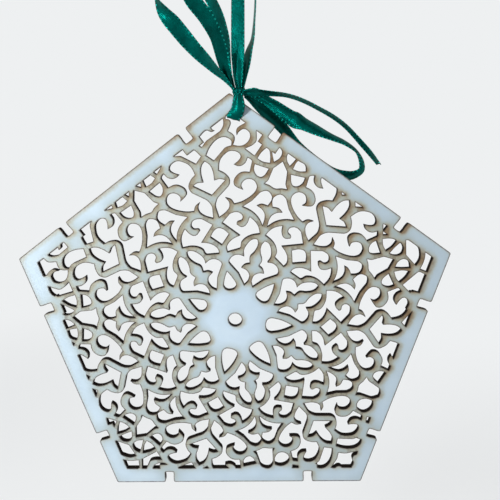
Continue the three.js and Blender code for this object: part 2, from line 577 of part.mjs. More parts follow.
// The hanging loop is parted at the level where it turns, with a gap between its upper and lower part.
const BLOCK = 4 * KNOT_DROP;
function blockBeyondTurn(direction) {
  const block = new THREE.BoxGeometry(BLOCK, BLOCK, BLOCK);
  block.translate(0, 0, -TURN_DROP + (direction * (BLOCK + CLEARANCE)) / 2);
  return solidOf(block);
}
const hangingLoop = strand(HANGING_LOOP);
const lowerStrands = hangingLoop.intersect(blockBeyondTurn(-1)).decompose();
lowerStrands.sort((a, b) => a.boundingBox().min[0] - b.boundingBox().min[0]);
addPiece('hanging_loop_top', hangingLoop.intersect(blockBeyondTurn(1)), GREEN_SATIN);
addPiece('hanging_strand_left', lowerStrands[0], GREEN_SATIN);
addPiece('hanging_strand_right', lowerStrands[1], GREEN_SATIN);

addPiece('bow_loop_left', strand(LEFT_LOOP), GREEN_SATIN);
addPiece('bow_tail_left', strand(LEFT_TAIL), GREEN_SATIN);
addPiece('bow_loop_right', strand(RIGHT_LOOP), GREEN_SATIN);
addPiece('bow_tail_right', strand(RIGHT_TAIL), GREEN_SATIN);

export default group;
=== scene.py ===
import math

import bmesh
import bpy
import numpy as np
from mathutils import Matrix, Vector
from mathutils.geometry import delaunay_2d_cdt
from mathutils.kdtree import KDTree


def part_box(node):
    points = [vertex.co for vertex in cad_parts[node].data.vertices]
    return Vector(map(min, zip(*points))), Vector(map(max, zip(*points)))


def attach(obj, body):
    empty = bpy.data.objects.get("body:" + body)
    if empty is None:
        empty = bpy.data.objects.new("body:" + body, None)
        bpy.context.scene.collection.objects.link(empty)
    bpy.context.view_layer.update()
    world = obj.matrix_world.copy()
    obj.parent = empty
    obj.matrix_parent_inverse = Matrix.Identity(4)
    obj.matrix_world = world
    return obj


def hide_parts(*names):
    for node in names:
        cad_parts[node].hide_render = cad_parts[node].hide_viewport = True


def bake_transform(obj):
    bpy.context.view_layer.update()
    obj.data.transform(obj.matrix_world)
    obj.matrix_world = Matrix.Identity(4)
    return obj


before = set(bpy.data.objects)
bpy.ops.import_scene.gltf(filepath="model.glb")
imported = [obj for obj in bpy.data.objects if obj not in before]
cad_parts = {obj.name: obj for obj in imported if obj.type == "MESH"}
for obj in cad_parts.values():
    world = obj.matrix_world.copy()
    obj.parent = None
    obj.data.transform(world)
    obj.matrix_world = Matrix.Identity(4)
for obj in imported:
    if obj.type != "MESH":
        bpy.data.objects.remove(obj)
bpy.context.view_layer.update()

# Fretwork panel
# One sheet of 3 mm plywood, painted pale blue on its face and cut through by laser afterwards.
# The cut charred its walls and left a line of scorch and a drift of smoke on the paint beside it.
MM = 0.001
panel_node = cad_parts["fretwork_panel"]
panel_low, panel_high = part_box("fretwork_panel")
SAME_POINT = 0.001 * MM
FACING_FRONT = -0.9
OUTLINE_STEP = 0.7 * MM
STRAIGHT_EDGE = 5 * MM
SHARP_TURN = math.radians(60)


def cut_outlines(node):
    """The closed outlines of a sheet's front face in X and Z, with the wood on their left."""
    sheet = bmesh.new()
    sheet.from_mesh(node.data)
    bmesh.ops.remove_doubles(sheet, verts=sheet.verts, dist=SAME_POINT)
    sheet.normal_update()
    onward = {}
    for face in sheet.faces:
        for loop in face.loops:
            if face.normal.y < FACING_FRONT < loop.link_loop_radial_next.face.normal.y:
                onward.setdefault(loop.vert, []).append(loop.link_loop_next.vert)
    outlines = []
    while onward:
        start = vert = next(iter(onward))
        outline = []
        while vert is not start or not outline:
            outline.append((vert.co.x, vert.co.z))
            ends = onward[vert]
            following = ends.pop()
            if not ends:
                del onward[vert]
            vert = following
        outlines.append(np.array(outline))
    sheet.free()
    return outlines


def smoothed(outline):
    """Points close together along an outline: curved through gentle corners, straight along long edges."""
    ahead = np.roll(outline, -1, axis=0) - outline
    length = np.linalg.norm(ahead, axis=1)
    heading = ahead / length[:, None]
    arriving = np.roll(heading, 1, axis=0)
    tangent = arriving * length[:, None] + heading * np.roll(length, 1)[:, None]
    tangent /= np.linalg.norm(tangent, axis=1)[:, None]
    straight = length > STRAIGHT_EDGE
    after_straight = np.roll(straight, 1)
    tangent[after_straight] = arriving[after_straight]
    tangent[straight] = heading[straight]
    sharp = np.sum(arriving * heading, axis=1) < math.cos(SHARP_TURN)
    points = []
    for i, start in enumerate(outline):
        j = (i + 1) % len(outline)
        end = outline[j]
        leaving = heading[i] if sharp[i] or straight[i] else tangent[i]
        entering = heading[i] if sharp[j] or straight[i] else tangent[j]
        near_start = start + leaving * length[i] / 3
        near_end = end - entering * length[i] / 3
        steps = math.ceil(length[i] / OUTLINE_STEP)
        for step in range(steps):
            t = step / steps
            u = 1 - t
            points.append(u**3 * start + 3 * u * u * t * near_start + 3 * u * t * t * near_end + t**3 * end)
    return np.array(points)


outlines = [smoothed(outline) for outline in cut_outlines(panel_node)]
outlines.sort(key=lambda outline: np.prod(np.ptp(outline, axis=0)), reverse=True)
edge_points = np.concatenate(outlines)
edge_headings = np.concatenate([np.roll(o, -1, axis=0) - np.roll(o, 1, axis=0) for o in outlines])
edge_headings /= np.linalg.norm(edge_headings, axis=1)[:, None]
into_wood = np.stack([-edge_headings[:, 1], edge_headings[:, 0]], axis=1)
edge_tree = KDTree(len(edge_points))
for number, (x, z) in enumerate(edge_points):
    edge_tree.insert((x, 0, z), number)
edge_tree.balance()


def cut_distance(x, z):
    """How far a point is from the nearest cut, and whether it is on the wood's side of it."""
    _, nearest, distance = edge_tree.find((x, 0, z))
    offset = np.array((x, z)) - edge_points[nearest]
    return distance, float(offset @ into_wood[nearest]) > 0


# Points of the face: along the cuts, on a ring just inside them, and on a lattice further in.
# A point of the ring or the lattice that comes too near a cut is left out.
SCORCH_RING = 0.45 * MM
RING_CLEARANCE = 0.85 * SCORCH_RING
LATTICE_STEP = 1.1 * MM
ROW_STEP = LATTICE_STEP * math.sqrt(3) / 2
LATTICE_CLEARANCE = SCORCH_RING + 0.55 * LATTICE_STEP
face_points = [Vector(point) for point in edge_points]
for x, z in edge_points + into_wood * SCORCH_RING:
    distance, on_wood = cut_distance(x, z)
    if on_wood and distance > RING_CLEARANCE:
        face_points.append(Vector((x, z)))
for row in range(math.ceil((panel_high.z - panel_low.z) / ROW_STEP)):
    z = panel_low.z + row * ROW_STEP
    for column in range(math.ceil((panel_high.x - panel_low.x) / LATTICE_STEP)):
        x = panel_low.x + (column + row % 2 / 2) * LATTICE_STEP
        distance, on_wood = cut_distance(x, z)
        if on_wood and distance > LATTICE_CLEARANCE:
            face_points.append(Vector((x, z)))

# The panel's outer outline is the largest and comes first; the openings run the other way round.
rings = []
first = 0
for outline in outlines:
    ring = list(range(first, first + len(outline)))
    rings.append(ring if not rings else ring[::-1])
    first += len(outline)
flat_points, _, triangles, _, _, inside = delaunay_2d_cdt(face_points, [], rings, 1, SAME_POINT)
wood = [triangle for triangle, owners in zip(triangles, inside) if owners == [0]]

# Smoke settles to the lower right of each cut, where the draught carried it, and as a thin veil all about.
# Towards the right and the top it is laid on more heavily, as painted shade where less light falls.
SMOKE_CELL = 0.4 * MM
SMOKE_MARGIN = 20 * MM
PUFF_REACH = 3
DRAUGHT = np.array((0.75, -0.66))
SMOKE_DRIFT = 0.7 * MM
SMOKE_SPREAD = 1.2 * MM
SMOKE_ALL_ROUND = 0.35
SHADE_FACTOR_AT_MIDDLE = 0.92
PAINTED_SHADE_GROWTH = np.array((0.3, 0.38)) / (100 * MM)
SHADE_FACTOR_LIMITS = (0.4, 1.4)
VEIL_SPREAD = 3.2 * MM
FULL_VEIL = 5
smoke_low = np.array((panel_low.x, panel_low.z)) - SMOKE_MARGIN
smoke_high = np.array((panel_high.x, panel_high.z)) + SMOKE_MARGIN
smoke_cells = np.ceil((smoke_high - smoke_low) / SMOKE_CELL).astype(int)


def settled(amounts, spread):
    """A map of the smoke from each point of the cuts, spread evenly about it: 1 on a single straight cut."""
    smoke_map = np.zeros(smoke_cells)
    np.add.at(smoke_map, tuple(((edge_points - smoke_low) / SMOKE_CELL).astype(int).T), amounts)
    reach = np.arange(-PUFF_REACH * spread, PUFF_REACH * spread, SMOKE_CELL) / spread
    puff = np.exp(-0.5 * reach**2)
    puff /= puff.sum()
    for axis in (0, 1):
        smoke_map = np.apply_along_axis(np.convolve, axis, smoke_map, puff, "same")
    return smoke_map * OUTLINE_STEP / SMOKE_CELL * math.sqrt(2 * math.pi) * spread / SMOKE_CELL


def smoke_at(smoke_map, points):
    """The smoke at points of the face, evened between the map's cells."""
    place = (points - smoke_low) / SMOKE_CELL - 0.5
    i, k = place.astype(int).T
    fx, fz = (place % 1).T
    left = smoke_map[i, k] * (1 - fz) + smoke_map[i, k + 1] * fz
    right = smoke_map[i + 1, k] * (1 - fz) + smoke_map[i + 1, k + 1] * fz
    return left * (1 - fx) + right * fx


sheltered = np.clip(into_wood @ DRAUGHT, 0, 1)
smoke_map = settled(SMOKE_ALL_ROUND + (1 - SMOKE_ALL_ROUND) * sheltered, SMOKE_SPREAD)
veil_map = settled(np.ones(len(edge_points)), VEIL_SPREAD)


def new_mesh_object(name, points, faces):
    """A mesh object at the origin, linked into the scene."""
    mesh = bpy.data.meshes.new(name)
    mesh.from_pydata(points, [], faces)
    made = bpy.data.objects.new(name, mesh)
    bpy.context.scene.collection.objects.link(made)
    return made


def store(mesh, name, kind, values):
    """Gives each point of a mesh a value under a name."""
    field = "vector" if kind == "FLOAT_VECTOR" else "value"
    mesh.attributes.new(name, kind, "POINT").data.foreach_set(field, np.asarray(values, np.float32).ravel())


# The sheet starts as its back, flat, and carries what the paint's material reads.
panel = new_mesh_object("fretwork_sheet", [(p.x, panel_high.y, p.y) for p in flat_points], wood)
flat = np.array([tuple(point) for point in flat_points])
from_middle = flat - (smoke_low + smoke_high) / 2
# The smoke is scaled up towards the right and the top: this share is painted shade, not more smoke.
painted_shade_factor = np.clip(SHADE_FACTOR_AT_MIDDLE + from_middle @ PAINTED_SHADE_GROWTH, *SHADE_FACTOR_LIMITS)
store(panel.data, "cut_distance", "FLOAT", [cut_distance(x, z)[0] for x, z in flat])
store(panel.data, "smoke_and_shade", "FLOAT", painted_shade_factor * smoke_at(smoke_map, flat - DRAUGHT * SMOKE_DRIFT))
store(panel.data, "veil", "FLOAT", smoke_at(veil_map, flat) / FULL_VEIL)


def linear(hex_colour):
    """A colour written as sRGB hex, as the linear colour that shaders take."""
    parts = [int(hex_colour[i:i + 2], 16) / 255 for i in (1, 3, 5)]
    return (*[p / 12.92 if p <= 0.04045 else ((p + 0.055) / 1.055) ** 2.4 for p in parts], 1)


def add_node(tree, kind, sockets=None, **settings):
    """Adds a node with its settings. A socket takes a value, or a link where it is given another socket."""
    node = tree.nodes.new(kind)
    for name, value in settings.items():
        setattr(node, name, value)
    for key, value in (sockets or {}).items():
        if isinstance(value, bpy.types.NodeSocket):
            tree.links.new(value, node.inputs[key])
        else:
            node.inputs[key].default_value = value
    return node


def set_stops(ramp, stops):
    """Sets a colour ramp's stops, each a place and a hex colour or a grey level."""
    elements = ramp.color_ramp.elements
    while len(elements) < len(stops):
        elements.new(1)
    for element, (place, colour) in zip(elements, stops):
        element.position = place
        element.color = linear(colour) if isinstance(colour, str) else (colour, colour, colour, 1)


def new_material(name):
    """An empty node material, its tree and its output node."""
    material = bpy.data.materials.new(name)
    material.use_nodes = True
    material.node_tree.nodes.clear()
    return material, material.node_tree, add_node(material.node_tree, "ShaderNodeOutputMaterial")


# A Mix node's sockets for colours, which have the same names as those for numbers.
MIX_A, MIX_B, MIXED = 6, 7, 2

# Thin matt acrylic on plywood: a pale sky blue, a little uneven, greyed by a veil of smoke,
# tan where smoke settled beside a cut and deeper tan to the right and top as painted shade, with a thin dark line
# of scorch along the cut itself.
PAINT_PATCHES = 24 * MM
PAINT_GRIT = 1.6 * MM
PAINT_RELIEF = 0.1 * MM
SCORCH_WIDTH = 1.2 * MM
PATCHINESS = 0.65
LEAST_SMOKE = 0.38
GRAININESS = 0.4
painted_ply, tree, output = new_material("Matt acrylic on plywood, scorched")
place = add_node(tree, "ShaderNodeTexCoord").outputs["Object"]
uneven = add_node(tree, "ShaderNodeTexNoise", {
    "Vector": place, "Scale": 1 / PAINT_PATCHES, "Detail": 6, "Roughness": 0.7,
})
fine = add_node(tree, "ShaderNodeTexNoise", {"Vector": place, "Scale": 1 / PAINT_GRIT, "Detail": 4})
paint = add_node(tree, "ShaderNodeValToRGB", {"Fac": uneven.outputs["Fac"]})
set_stops(paint, [(0.3, "#c4d9ea"), (0.7, "#d1e4f2")])
veil = add_node(tree, "ShaderNodeAttribute", attribute_name="veil").outputs["Fac"]
greyed = add_node(tree, "ShaderNodeMapRange", {
    "Value": veil, "From Min": 0.1, "From Max": 0.5, "To Min": 0.0, "To Max": 0.85,
})
veiled = add_node(tree, "ShaderNodeMix", {
    "Factor": greyed.outputs[0], MIX_A: paint.outputs["Color"], MIX_B: linear("#aab7b6"),
}, data_type="RGBA")
# This reading carries the smoke and the painted shade that deepens it to the right and top.
smoke_and_shade = add_node(tree, "ShaderNodeAttribute", attribute_name="smoke_and_shade").outputs["Fac"]
patchy = add_node(tree, "ShaderNodeMath", {
    0: uneven.outputs["Fac"], 1: PATCHINESS, 2: LEAST_SMOKE,
}, operation="MULTIPLY_ADD")
grainy = add_node(tree, "ShaderNodeMath", {
    0: fine.outputs["Fac"], 1: GRAININESS, 2: -GRAININESS / 2,
}, operation="MULTIPLY_ADD")
drift = add_node(tree, "ShaderNodeMath", {
    0: smoke_and_shade, 1: patchy.outputs[0], 2: grainy.outputs[0],
}, operation="MULTIPLY_ADD")
haze = add_node(tree, "ShaderNodeValToRGB", {"Fac": drift.outputs[0]})
set_stops(haze, [(0.08, 0.0), (0.4, 0.33), (0.7, 0.6), (1, 0.85)])
haze_colour = add_node(tree, "ShaderNodeValToRGB", {"Fac": drift.outputs[0]})
set_stops(haze_colour, [(0.2, "#b6b090"), (0.5, "#aa9966"), (0.95, "#866636")])
smoked = add_node(tree, "ShaderNodeMix", {
    "Factor": haze.outputs["Color"], MIX_A: veiled.outputs[MIXED], MIX_B: haze_colour.outputs["Color"],
}, data_type="RGBA")
from_cut = add_node(tree, "ShaderNodeAttribute", attribute_name="cut_distance").outputs["Fac"]
charred = add_node(tree, "ShaderNodeMath", {
    0: from_cut, 1: 1 / SCORCH_WIDTH, 2: grainy.outputs[0],
}, operation="MULTIPLY_ADD")
scorch = add_node(tree, "ShaderNodeValToRGB", {"Fac": charred.outputs[0]})
set_stops(scorch, [(0, 0.95), (0.25, 0.72), (0.45, 0.2), (0.75, 0.0)])
scorch_colour = add_node(tree, "ShaderNodeValToRGB", {"Fac": charred.outputs[0]})
set_stops(scorch_colour, [(0, "#1c110a"), (0.3, "#53391f"), (0.7, "#a38b58")])
burnt = add_node(tree, "ShaderNodeMix", {
    "Factor": scorch.outputs["Color"], MIX_A: smoked.outputs[MIXED], MIX_B: scorch_colour.outputs["Color"],
}, data_type="RGBA")
bump = add_node(tree, "ShaderNodeBump", {
    "Height": fine.outputs["Fac"], "Strength": 0.12, "Distance": PAINT_RELIEF,
})
skin = add_node(tree, "ShaderNodeBsdfPrincipled", {
    "Base Color": burnt.outputs[MIXED], "Roughness": 0.62, "IOR": 1.49, "Normal": bump.outputs["Normal"],
})
tree.links.new(skin.outputs[0], output.inputs["Surface"])

# Charred cut wall: three plies and their glue lines, burnt almost black with a brown bloom.
SOOT_STREAKS = 0.8 * MM
charred_wall, tree, output = new_material("Laser-charred plywood edge")
place = add_node(tree, "ShaderNodeTexCoord").outputs["Object"]
depth = add_node(tree, "ShaderNodeSeparateXYZ", {0: place}).outputs["Y"]
ply_place = add_node(tree, "ShaderNodeMapRange", {
    "Value": depth, "From Min": panel_low.y, "From Max": panel_high.y,
})
plies = add_node(tree, "ShaderNodeValToRGB", {"Fac": ply_place.outputs[0]})
set_stops(plies, [
    (0, "#0a0706"), (0.2, "#120d0a"), (0.33, "#070504"), (0.5, "#16100c"), (0.67, "#070504"), (1, "#0c0806"),
])
streaks = add_node(tree, "ShaderNodeTexNoise", {"Vector": place, "Scale": 1 / SOOT_STREAKS, "Detail": 3})
sooty = add_node(tree, "ShaderNodeMix", {
    "Factor": streaks.outputs["Fac"], MIX_A: plies.outputs["Color"], MIX_B: linear("#1a130e"),
}, data_type="RGBA")
skin = add_node(tree, "ShaderNodeBsdfPrincipled", {
    "Base Color": sooty.outputs[MIXED], "Roughness": 1.0, "Specular IOR Level": 0.1,
})
tree.links.new(skin.outputs[0], output.inputs["Surface"])

# Bare birch plywood of the back: pale straw colour with long soft grain, toasted beside the cuts, more so to the
# right and top as painted shade.
GRAIN_WIDTH = 1.4 * MM
GRAIN_RELIEF = 0.1 * MM
GRAIN_STRETCH = (1, 1, 0.06)
TOASTING = 0.5
bare_ply, tree, output = new_material("Bare birch plywood")
place = add_node(tree, "ShaderNodeTexCoord").outputs["Object"]
along_grain = add_node(tree, "ShaderNodeMapping", {"Vector": place, "Scale": GRAIN_STRETCH})
grain = add_node(tree, "ShaderNodeTexNoise", {
    "Vector": along_grain.outputs[0], "Scale": 1 / GRAIN_WIDTH, "Detail": 5, "Distortion": 0.4,
})
birch = add_node(tree, "ShaderNodeValToRGB", {"Fac": grain.outputs["Fac"]})
set_stops(birch, [(0.3, "#c9a877"), (0.5, "#dcc197"), (0.7, "#e6d0ab")])
# The back's toasting reads the same smoke, with its painted shade to the right and top.
smoke_and_shade = add_node(tree, "ShaderNodeAttribute", attribute_name="smoke_and_shade").outputs["Fac"]
toasted = add_node(tree, "ShaderNodeMath", {0: smoke_and_shade, 1: TOASTING}, operation="MULTIPLY", use_clamp=True)
stained = add_node(tree, "ShaderNodeMix", {
    "Factor": toasted.outputs[0], MIX_A: birch.outputs["Color"], MIX_B: linear("#8a6540"),
}, data_type="RGBA")
from_cut = add_node(tree, "ShaderNodeAttribute", attribute_name="cut_distance").outputs["Fac"]
edge_share = add_node(tree, "ShaderNodeMath", {0: from_cut, 1: 1 / SCORCH_WIDTH}, operation="MULTIPLY")
scorch = add_node(tree, "ShaderNodeValToRGB", {"Fac": edge_share.outputs[0]})
set_stops(scorch, [(0, 0.95), (0.3, 0.5), (1, 0.0)])
burnt = add_node(tree, "ShaderNodeMix", {
    "Factor": scorch.outputs["Color"], MIX_A: stained.outputs[MIXED], MIX_B: linear("#3a281b"),
}, data_type="RGBA")
bump = add_node(tree, "ShaderNodeBump", {
    "Height": grain.outputs["Fac"], "Strength": 0.2, "Distance": GRAIN_RELIEF,
})
skin = add_node(tree, "ShaderNodeBsdfPrincipled", {
    "Base Color": burnt.outputs[MIXED], "Roughness": 0.7, "Normal": bump.outputs["Normal"],
})
tree.links.new(skin.outputs[0], output.inputs["Surface"])


def new_tree(name, inputs):
    """A geometry node tree with a geometry and the named inputs, and its two end nodes."""
    tree = bpy.data.node_groups.new(name, "GeometryNodeTree")
    tree.interface.new_socket("Geometry", in_out="INPUT", socket_type="NodeSocketGeometry")
    for socket_name, socket_type in inputs:
        tree.interface.new_socket(socket_name, in_out="INPUT", socket_type=socket_type)
    tree.interface.new_socket("Geometry", in_out="OUTPUT", socket_type="NodeSocketGeometry")
    return tree, add_node(tree, "NodeGroupInput").outputs, add_node(tree, "NodeGroupOutput").inputs[0]


def made_solid(piece, tree, values, wall=0):
    """Runs a tree on a piece with its inputs set, gives it a wall if asked, and leaves it a plain mesh."""
    modifier = piece.modifiers.new(tree.name, "NODES")
    modifier.node_group = tree
    for item in tree.interface.items_tree:
        if item.in_out == "INPUT" and item.name in values:
            modifier[item.identifier] = values[item.name]
    if wall:
        piece.modifiers.new("cloth", "SOLIDIFY").thickness = wall
        piece.modifiers["cloth"].offset = 0
    graph = bpy.context.evaluated_depsgraph_get()
    evaluated = piece.evaluated_get(graph)
    solid = bpy.data.meshes.new_from_object(evaluated, preserve_all_data_layers=True, depsgraph=graph)
    piece.modifiers.clear()
    piece.data = solid
    # The tree leaves an empty slot before its own materials.
    if solid.materials[0] is None:
        solid.materials.pop(index=0)


# The sheet is cut through: the face is raised from the back's plane, with a wall along every outline.
cutting, given, result = new_tree("laser_cut_sheet", [
    ("Thickness", "NodeSocketFloat"), ("Face", "NodeSocketMaterial"),
    ("Wall", "NodeSocketMaterial"), ("Back", "NodeSocketMaterial"),
])
rise = add_node(cutting, "GeometryNodeExtrudeMesh", {
    "Mesh": given["Geometry"], "Offset Scale": given["Thickness"], "Individual": False,
})
back = add_node(cutting, "GeometryNodeFlipFaces", {"Mesh": given["Geometry"]})
both = add_node(cutting, "GeometryNodeJoinGeometry", {"Geometry": rise.outputs["Mesh"]})
cutting.links.new(back.outputs[0], both.inputs[0])
closed = add_node(cutting, "GeometryNodeMergeByDistance", {"Geometry": both.outputs[0], "Distance": SAME_POINT})
whole = add_node(cutting, "GeometryNodeRealizeInstances", {"Geometry": closed.outputs[0]})
backed = add_node(cutting, "GeometryNodeSetMaterial", {"Geometry": whole.outputs[0], "Material": given["Back"]})
faced = add_node(cutting, "GeometryNodeSetMaterial", {
    "Geometry": backed.outputs[0], "Selection": rise.outputs["Top"], "Material": given["Face"],
})
walled = add_node(cutting, "GeometryNodeSetMaterial", {
    "Geometry": faced.outputs[0], "Selection": rise.outputs["Side"], "Material": given["Wall"],
})
cutting.links.new(walled.outputs[0], result)
made_solid(panel, cutting, {
    "Thickness": panel_high.y - panel_low.y, "Face": painted_ply, "Wall": charred_wall, "Back": bare_ply,
})
SHARP_EDGE = math.radians(35)
panel.data.shade_smooth()
panel.data.set_sharp_from_angle(angle=SHARP_EDGE)
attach(panel, "ornament")
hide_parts("fretwork_panel")

# Ribbon round the panel
# A 7 mm green satin ribbon goes down the face, through the topmost opening and up the back.
# It is gathered into the knot and spreads flat against the sloping border where it bends through.
KNOT = np.array((-4.65, 0, -77.5))
RIBBON_WIDTH = 7
RIBBON_WALL = 0.25 * MM
POINTS_ACROSS = 15
STEPS_PER_SPAN = 12
FACE_GAP = 1.76
BEND_DEPTH = 1.1
BEND_SLOPE = math.radians(17)
TURN_BELOW_KNOT = math.radians(8)
TURN_ON_FACE = math.radians(20)
WRAP_BULGE = 1.3

# Each station is a place from the knot's centre, the direction across the ribbon and its width, in millimetres.
LEVEL = (1, 0, 0)
TURNING = (math.cos(TURN_BELOW_KNOT), -math.sin(TURN_BELOW_KNOT), 0)
TURNED = (math.cos(TURN_ON_FACE), -math.sin(TURN_ON_FACE), 0)
SLOPE = (math.cos(BEND_SLOPE), 0, -math.sin(BEND_SLOPE))
wrap_front = [
    (0, -1.8, -0.9, LEVEL, 3.6),
    (0, -FACE_GAP - 0.3, -2.4, TURNING, 4.6),
    (0, -FACE_GAP - 1, -4.8, TURNED, 5.8),
    (-0.2, -FACE_GAP - 1.15, -7.6, TURNED, 6.8),
    (-1.7, -FACE_GAP, -10.6, SLOPE, 6.8),
    (-2.6, -FACE_GAP, -11.9, SLOPE, 6.4),
    (-2.6, -BEND_DEPTH, -12.62, SLOPE, 6.4),
]
wrap_back = [(x, -y, z, across, width) for x, y, z, across, width in reversed(wrap_front)]


def catmull_rom(points, steps):
    """Points on the centripetal curve through the given ones, steps to each span."""
    points = np.asarray(points, float)
    ends = [2 * points[0] - points[1], *points, 2 * points[-1] - points[-2]]
    curve = []
    for before, start, end, after in zip(ends, ends[1:], ends[2:], ends[3:]):
        pairs = ((before, start), (start, end), (end, after))
        lead, span, trail = [max(np.linalg.norm(b - a), 1e-8) ** 0.5 for a, b in pairs]
        leave = span * ((start - before) / lead - (end - before) / (lead + span) + (end - start) / span)
        enter = span * ((end - start) / span - (after - start) / (span + trail) + (after - end) / trail)
        for step in range(steps):
            t = step / steps
            curve.append(start + leave * t + (3 * (end - start) - 2 * leave - enter) * t * t
                         + (2 * (start - end) + leave + enter) * t**3)
    curve.append(points[-1])
    return np.array(curve)


# Polyester satin: dark green cloth whose floats give strong gleams that glitter thread by thread,
# with fine ribs across it and a row of raised stitches along each selvedge, their lighter teal a painted glint.
# A share of metal keeps the gleams green, as dyed floats do.
# The real ribs are 0.2 mm apart, too fine to show, so they are drawn coarser.
RIB_PITCH = 0.55 * MM
STITCH_PITCH = 1.9 * MM
SELVEDGE = 0.8 * MM
THREADS = 0.8 * MM
SLUBS = 5 * MM
WEAVE_RELIEF = 0.16 * MM
RIB_HEIGHT = 0.25
STITCH_HEIGHT = 1.5
HALF_RIBBON = RIBBON_WIDTH / 2 * MM
satin, tree, output = new_material("Green polyester satin")
cloth = add_node(tree, "ShaderNodeUVMap", uv_map="ribbon").outputs["UV"]
cloth_place = add_node(tree, "ShaderNodeSeparateXYZ", {0: cloth}).outputs
rib_phase = add_node(tree, "ShaderNodeMath", {
    0: cloth_place["X"], 1: 2 * math.pi / RIB_PITCH,
}, operation="MULTIPLY")
rib = add_node(tree, "ShaderNodeMath", {0: rib_phase.outputs[0]}, operation="SINE")
stitch_phase = add_node(tree, "ShaderNodeMath", {
    0: cloth_place["X"], 1: 2 * math.pi / STITCH_PITCH,
}, operation="MULTIPLY")
stitch = add_node(tree, "ShaderNodeMath", {0: stitch_phase.outputs[0]}, operation="SINE")
threads = add_node(tree, "ShaderNodeTexNoise", {"Vector": cloth, "Scale": 1 / THREADS, "Detail": 3})
slubs = add_node(tree, "ShaderNodeTexNoise", {"Vector": cloth, "Scale": 1 / SLUBS, "Detail": 2})
across_half = add_node(tree, "ShaderNodeMath", {0: cloth_place["Y"]}, operation="ABSOLUTE")
edge_line = add_node(tree, "ShaderNodeMapRange", {
    "Value": across_half.outputs[0], "From Min": HALF_RIBBON - SELVEDGE, "From Max": HALF_RIBBON - SELVEDGE / 2,
})
stitch_and_glint = add_node(tree, "ShaderNodeMath", {
    0: edge_line.outputs[0], 1: stitch.outputs[0],
}, operation="MULTIPLY", use_clamp=True)
dye = add_node(tree, "ShaderNodeValToRGB", {"Fac": slubs.outputs["Fac"]})
set_stops(dye, [(0.3, "#004842"), (0.7, "#005f57")])
# The stitches are raised in the bump and painted a lighter teal: a painted glint where they catch the light.
dye_and_glint = add_node(tree, "ShaderNodeMix", {
    "Factor": stitch_and_glint.outputs[0], MIX_A: dye.outputs["Color"], MIX_B: linear("#1fa397"),
}, data_type="RGBA")
ribbed = add_node(tree, "ShaderNodeMath", {
    0: rib.outputs[0], 1: RIB_HEIGHT, 2: threads.outputs["Fac"],
}, operation="MULTIPLY_ADD")
weave = add_node(tree, "ShaderNodeMath", {
    0: stitch_and_glint.outputs[0], 1: STITCH_HEIGHT, 2: ribbed.outputs[0],
}, operation="MULTIPLY_ADD")
bump = add_node(tree, "ShaderNodeBump", {"Height": weave.outputs[0], "Strength": 0.8, "Distance": WEAVE_RELIEF})
turn = add_node(tree, "ShaderNodeTangent", direction_type="UV_MAP", uv_map="ribbon")
skin = add_node(tree, "ShaderNodeBsdfPrincipled", {
    "Base Color": dye_and_glint.outputs[MIXED], "Metallic": 0.55, "Roughness": 0.3, "Specular IOR Level": 0.1,
    "Specular Tint": linear("#1fa397"), "Anisotropic": 0.5, "Tangent": turn.outputs[0],
    "Normal": bump.outputs["Normal"],
})
tree.links.new(skin.outputs[0], output.inputs["Surface"])

# A ribbon is a strip of cloth on a route: each row of its points lies across the route,
# cupped a little, and folded into pleats where the route is narrower than the ribbon.
ribbon_tree, given, result = new_tree("ribbon_on_route", [
    ("Points across", "NodeSocketInt"), ("Pleats", "NodeSocketFloat"),
    ("Half width", "NodeSocketFloat"), ("Cloth", "NodeSocketMaterial"),
])
route_size = add_node(ribbon_tree, "GeometryNodeAttributeDomainSize", {"Geometry": given["Geometry"]})
strip = add_node(ribbon_tree, "GeometryNodeMeshGrid", {
    "Vertices X": route_size.outputs["Point Count"], "Vertices Y": given["Points across"],
})
index = add_node(ribbon_tree, "GeometryNodeInputIndex").outputs[0]
row_place = add_node(ribbon_tree, "ShaderNodeMath", {0: index, 1: given["Points across"]}, operation="DIVIDE")
row = add_node(ribbon_tree, "ShaderNodeMath", {0: row_place.outputs[0]}, operation="FLOOR").outputs[0]
column = add_node(ribbon_tree, "ShaderNodeMath", {0: index, 1: given["Points across"]}, operation="MODULO")
last_column = add_node(ribbon_tree, "ShaderNodeMath", {0: given["Points across"], 1: 1}, operation="SUBTRACT")
side = add_node(ribbon_tree, "ShaderNodeMapRange", {
    "Value": column.outputs[0], "From Min": 0, "From Max": last_column.outputs[0], "To Min": -1, "To Max": 1,
}, clamp=False).outputs[0]
position = add_node(ribbon_tree, "GeometryNodeInputPosition").outputs[0]
sampled = {}
for name, kind in (
    ("position", "FLOAT_VECTOR"), ("across", "FLOAT_VECTOR"), ("lift", "FLOAT_VECTOR"),
    ("gather", "FLOAT"), ("cup", "FLOAT"), ("along", "FLOAT"),
):
    value = position
    if name != "position":
        stored = add_node(ribbon_tree, "GeometryNodeInputNamedAttribute", {"Name": name}, data_type=kind)
        value = stored.outputs["Attribute"]
    sample = add_node(ribbon_tree, "GeometryNodeSampleIndex", {
        "Geometry": given["Geometry"], "Value": value, "Index": row,
    }, data_type=kind)
    sampled[name] = sample.outputs[0]
fold_phase = add_node(ribbon_tree, "ShaderNodeMath", {0: side, 1: given["Pleats"]}, operation="MULTIPLY")
fold = add_node(ribbon_tree, "ShaderNodeMath", {0: fold_phase.outputs[0]}, operation="COSINE")
fold_height = add_node(ribbon_tree, "ShaderNodeMath", {
    0: fold.outputs[0], 1: sampled["gather"],
}, operation="MULTIPLY")
squared = add_node(ribbon_tree, "ShaderNodeMath", {0: side, 1: side}, operation="MULTIPLY")
hollow = add_node(ribbon_tree, "ShaderNodeMath", {0: sampled["cup"], 1: 0}, operation="MINIMUM")
